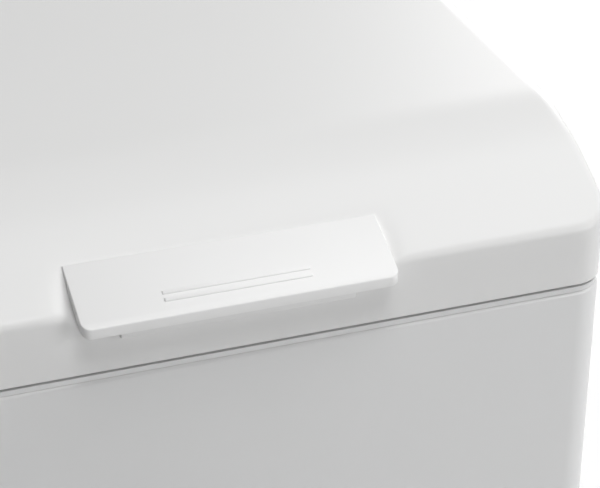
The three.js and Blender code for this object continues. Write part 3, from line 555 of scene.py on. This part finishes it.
# ---- Feet ----
THREAD_FROM, THREAD_STEP = 16.2, 0.55  # the stud's thread: its first crest and half its pitch
thread = [(5.9 - 0.5 * (k % 2), THREAD_FROM + THREAD_STEP * k) for k in range(17)]

for place in ("front_left", "front_right", "rear_left", "rear_right"):
    low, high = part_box(f"foot_{place}")
    under = Vector(((low.x + high.x) / 2, (low.y + high.y) / 2, low.z))
    pad = bmesh.new()
    turned(pad, [(0, 1), (15, 1), (16, 0), (18.6, 0), (19.6, 0.5), (20, 1.4), (20, 4.2), (19.5, 5.1), (15.2, 8),
                 (13.4, 8.9), (9, 9.6), (8.6, 10.4), (8.4, 11.6), (0, 11.6)], under, sides=40)
    settle(f"foot_pad_{place}", pad, rubber, "cabinet", [f"foot_{place}"], weld=False)
    stud = bmesh.new()
    turned(stud, [(0, 11.7), (8.6, 11.7), (9, 12.2), (9, 15.4), (8.6, 15.9), (5.4, 15.9), *thread, (0, 25.4)],
           under, sides=24)
    settle(f"foot_stud_{place}", stud, zinc, "cabinet", [f"foot_{place}"], weld=False)

# ---- Pedal tread ----
TREAD_BARS, TREAD_PITCH = 5, 3.6
PEDAL_SLOPE = 4 / 21  # the pad's top rises to the back

pad_low, pad_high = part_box("foot_pedal")
tread = bmesh.new()
for k in range(TREAD_BARS):
    y = pad_low.y + (3.5 + TREAD_PITCH * k) * MM
    z = pad_low.z + 4 * MM + (y - pad_low.y) * PEDAL_SLOPE
    raised_bar(tread, Vector((pad_low.x + 4 * MM, y - 0.7 * MM, z - 0.6 * MM)),
               Vector((pad_high.x - 4 * MM, y + 0.7 * MM, z + 0.9 * MM)), 0.35 * MM)
settle("pedal_tread", tread, rubber, "pedal", weld=False)

# ---- Bucket ----
RIM = 4 * MM  # how far the lip stands out and hangs down
BUCKET_WALL = 2.5 * MM
BUCKET_CORNER, BUCKET_FOOT = 16 * MM, 5 * MM
HAND_HALF = 45 * MM  # half the length of a hand hole
HAND_LOW, HAND_HIGH = 60 * MM, 30 * MM  # its lower and upper edges, down from the lip
RIB_PITCH, RIB_HALF, RIB_OUT, RIB_END = 44 * MM, 2.2 * MM, 1.8 * MM, 30 * MM

bucket_low, bucket_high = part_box("bucket")
tub = bmesh.new()
tub_low = bucket_low + Vector((RIM, RIM, 0))
tub_high = bucket_high - Vector((RIM, RIM, 0))
flat_block(tub, tub_low, tub_high)
round_edges(tub, edges_where(tub, upright), BUCKET_CORNER, 8)
round_edges(tub, edges_where(tub, lambda a, b: max(a.z, b.z) < tub_low.z + SAME), BUCKET_FOOT, 4)
bmesh.ops.recalc_face_normals(tub, faces=tub.faces)
bmesh.ops.delete(tub, geom=[f for f in tub.faces if f.normal.z > 0.999], context="FACES")
middle = (bucket_low + bucket_high) / 2
lip = [e for e in tub.edges if e.is_boundary]
for widen, drop in ((True, 0), (False, RIM)):
    made = bmesh.ops.extrude_edge_only(tub, edges=lip)["geom"]
    lip = [g for g in made if isinstance(g, bmesh.types.BMEdge)]
    edge_verts = list({v for e in lip for v in e.verts})
    if widen:
        size = bucket_high - bucket_low
        factor = Vector((size.x / (size.x - 2 * RIM), size.y / (size.y - 2 * RIM), 1))
        bmesh.ops.scale(tub, vec=factor, verts=edge_verts, space=Matrix.Translation(-middle))
    bmesh.ops.translate(tub, verts=edge_verts, vec=(0, 0, -drop))
hand_ys = (middle.y - HAND_HALF, middle.y + HAND_HALF)
hand_zs = (bucket_high.z - HAND_LOW, bucket_high.z - HAND_HIGH)
for normal, places in ((Vector((0, 1, 0)), hand_ys), (Vector((0, 0, 1)), hand_zs)):
    for place in places:
        bmesh.ops.bisect_plane(tub, geom=tub.verts[:] + tub.edges[:] + tub.faces[:], plane_co=normal * place,
                               plane_no=normal, dist=SAME)
hand_holes = []
for face in tub.faces:
    centre = face.calc_center_median()
    if abs(face.normal.x) > 0.9 and hand_ys[0] < centre.y < hand_ys[1] and hand_zs[0] < centre.z < hand_zs[1]:
        hand_holes.append(face)
bmesh.ops.delete(tub, geom=hand_holes, context="FACES")
settle("bucket_tub", tub, grey_plastic, "drawer", ["bucket"], wall=BUCKET_WALL)
ribs = bmesh.new()
for k in range(-2, 3):
    x = middle.x + k * RIB_PITCH
    for inner, outer, way in ((tub_low.y, tub_low.y - RIB_OUT, "-y"), (tub_high.y, tub_high.y + RIB_OUT, "y")):
        raised_bar(ribs, Vector((x - RIB_HALF, min(inner, outer), tub_low.z + RIB_END)),
                   Vector((x + RIB_HALF, max(inner, outer), tub_high.z - RIB_END)), 0.8 * MM, way)
settle("bucket_ribs", ribs, grey_plastic, "drawer", ["bucket"], weld=False)

# ---- Lid lining ribs, hinge screws, louvre blades ----
LINER_PITCH = 34 * MM
SCREW_IN, SCREW_APART = 6 * MM, 4 * MM
LOUVRES, LOUVRE_PITCH = 7, 16
LOUVRE_FIRST = 620  # the lowest blade, above the back panel's lower edge
BLADE_HALF, BLADE_DEPTH, BLADE_DROP = 60 * MM, 7 * MM, 6 * MM

liner_low, liner_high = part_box("lid_liner")
pressed = bmesh.new()
for k in (-3.35, -2.35, -1.35, 1.35, 2.35, 3.35):  # none in the middle, where the ram's column stands
    x = k * LINER_PITCH
    raised_bar(pressed, Vector((x - 3 * MM, liner_low.y + 70 * MM, liner_low.z - 0.9 * MM)),
               Vector((x + 3 * MM, liner_high.y - 34 * MM, liner_low.z + 0.3 * MM)), 0.8 * MM, "-z")
settle("lid_liner_ribs", pressed, liner_plastic, "lid", weld=False)
screws = bmesh.new()
for side in ("left", "right"):
    low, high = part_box(f"hinge_bracket_{side}")
    x = low.x + SCREW_IN if side == "right" else high.x - SCREW_IN
    for y in ((low.y + high.y) / 2 - SCREW_APART, (low.y + high.y) / 2 + SCREW_APART):
        screw_head(screws, Vector((x, y, low.z + 3 * MM)), 2.6, 1.5)
settle("hinge_screws", screws, zinc, "cabinet", weld=False)
blades = bmesh.new()
back_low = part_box("back_panel")[0]
for k in range(LOUVRES):
    z = back_low.z + (LOUVRE_FIRST + LOUVRE_PITCH * k) * MM
    blade = flat_block(blades, Vector((-BLADE_HALF, back_low.y - BLADE_DEPTH, z - 0.5 * MM)),
                       Vector((BLADE_HALF, back_low.y - 0.2 * MM, z + 0.5 * MM)))
    for v in blade:
        v.co.z += BLADE_DROP * (back_low.y - v.co.y) / BLADE_DEPTH
settle("back_louvre_blades", blades, enamel, "cabinet", weld=False, soften=0.15 * MM)

# ---- Looks for the pieces that keep their CAD shape ----
LOOKS = (
    (enamel, ("top_collar", "back_panel")),
    (liner_plastic, ("lid_liner", "drawer_liner")),
    (rubber, ("lid_gasket",)),
    (brushed, ("ram_face",)),
    (black_paint, ("ram_plate", "gear_motor", "foot_pedal", "toe_kick", "hinge_pin_left", "hinge_pin_right")),
    (black_plastic, ("lock_housing", "odour_filter", "power_inlet", "key_switch")),
    (board_green, ("control_board",)),
    (machined, ("column_sleeve", "ram_stage_1", "ram_stage_2", "ram_stage_3", "ram_post", "lead_screw")),
)
looks = {name: look for look, names in LOOKS for name in names}
EDGE, COLLAR_EDGE = 0.4 * MM, 0.9 * MM
for name, node in nodes.items():
    node.data.materials.clear()
    node.data.materials.append(looks.get(name, zinc))
    if name != "lid_gasket":
        edge = node.modifiers.new("edge", "BEVEL")
        edge.width = COLLAR_EDGE if name == "top_collar" else EDGE
        edge.segments = 2
        edge.limit_method = "ANGLE"
        edge.angle_limit = math.radians(40)

# ---- Floor, light and camera ----
FLOOR_HALF = 9
FLOOR_COLOR = (0.93, 0.93, 0.93, 1)
FLOOR_GLOW = 0.17
WORLD_GLOW = 0.004
WHITE = (1, 1, 1, 1)
LID_MIDDLE = Vector((0, -0.2, 0.85))  # what the lamps look at
LAMP_SIDE, LAMP_AWAY = 1.4, 3.2
LAMPS = (("front_high", 0, 65, 38), ("front_low", 40, 15, 24.5), ("right_middle", 90, 40, 21),
         ("right_high", 90, 65, 28.5), ("overhead", 0, 88, 6), ("back_low", 140, 15, 38))
CAMERA_FROM_SEAM = (-257.44, -800.78, 531.96)
AZIMUTH, TILT, ROLL = (math.radians(a) for a in (19.755, 29.555, 0.404))
SENSOR, FOCAL_LENGTH = 36, 129.8568

floor_shape = bmesh.new()
bmesh.ops.create_grid(floor_shape, x_segments=1, y_segments=1, size=FLOOR_HALF)
floor_mesh = bpy.data.meshes.new("floor")
floor_shape.to_mesh(floor_mesh)
floor_shape.free()
floor = bpy.data.objects.new("floor", floor_mesh)
bpy.context.scene.collection.objects.link(floor)
paper = bpy.data.materials.new("pale_floor")
paper.use_nodes = True
paper_surface = paper.node_tree.nodes["Principled BSDF"]
paper_surface.inputs["Base Color"].default_value = FLOOR_COLOR
paper_surface.inputs["Roughness"].default_value = 0.9
paper_surface.inputs["Emission Color"].default_value = WHITE
paper_surface.inputs["Emission Strength"].default_value = FLOOR_GLOW
floor_mesh.materials.append(paper)


def softbox(name, turn, height, power):
    """A square lamp that looks at the lid: turn is round to the right from the front, height above level."""
    lamp = bpy.data.lights.new(name, "AREA")
    lamp.size = LAMP_SIDE
    lamp.energy = power
    made = bpy.data.objects.new(name, lamp)
    bpy.context.scene.collection.objects.link(made)
    turn, height = math.radians(turn), math.radians(height)
    reach = Vector((math.sin(turn) * math.cos(height), -math.cos(turn) * math.cos(height), math.sin(height)))
    made.location = LID_MIDDLE + LAMP_AWAY * reach
    made.rotation_euler = (-reach).to_track_quat("-Z", "Y").to_euler()


scene = bpy.context.scene
scene.view_settings.view_transform = "Standard"
scene.world = bpy.data.worlds.new("studio")
scene.world.use_nodes = True
backdrop = scene.world.node_tree.nodes["Background"]
backdrop.inputs["Color"].default_value = WHITE
backdrop.inputs["Strength"].default_value = WORLD_GLOW
for lamp in LAMPS:
    softbox(*lamp)

right = Vector((math.cos(AZIMUTH), -math.sin(AZIMUTH), 0))
ahead = Vector((math.sin(AZIMUTH) * math.cos(TILT), math.cos(AZIMUTH) * math.cos(TILT), -math.sin(TILT)))
up = right.cross(ahead)
across = math.cos(ROLL) * right + math.sin(ROLL) * up
above = math.cos(ROLL) * up - math.sin(ROLL) * right
facing = Matrix((across, above, -ahead)).transposed().to_4x4()
lens = bpy.data.cameras.new("camera")
lens.sensor_fit = "HORIZONTAL"
lens.sensor_width = SENSOR
lens.lens = FOCAL_LENGTH
lens.clip_start = 0.01
camera = bpy.data.objects.new("camera", lens)
scene.collection.objects.link(camera)
camera.matrix_world = Matrix.Translation(machine(*CAMERA_FROM_SEAM)) @ facing
scene.camera = camera
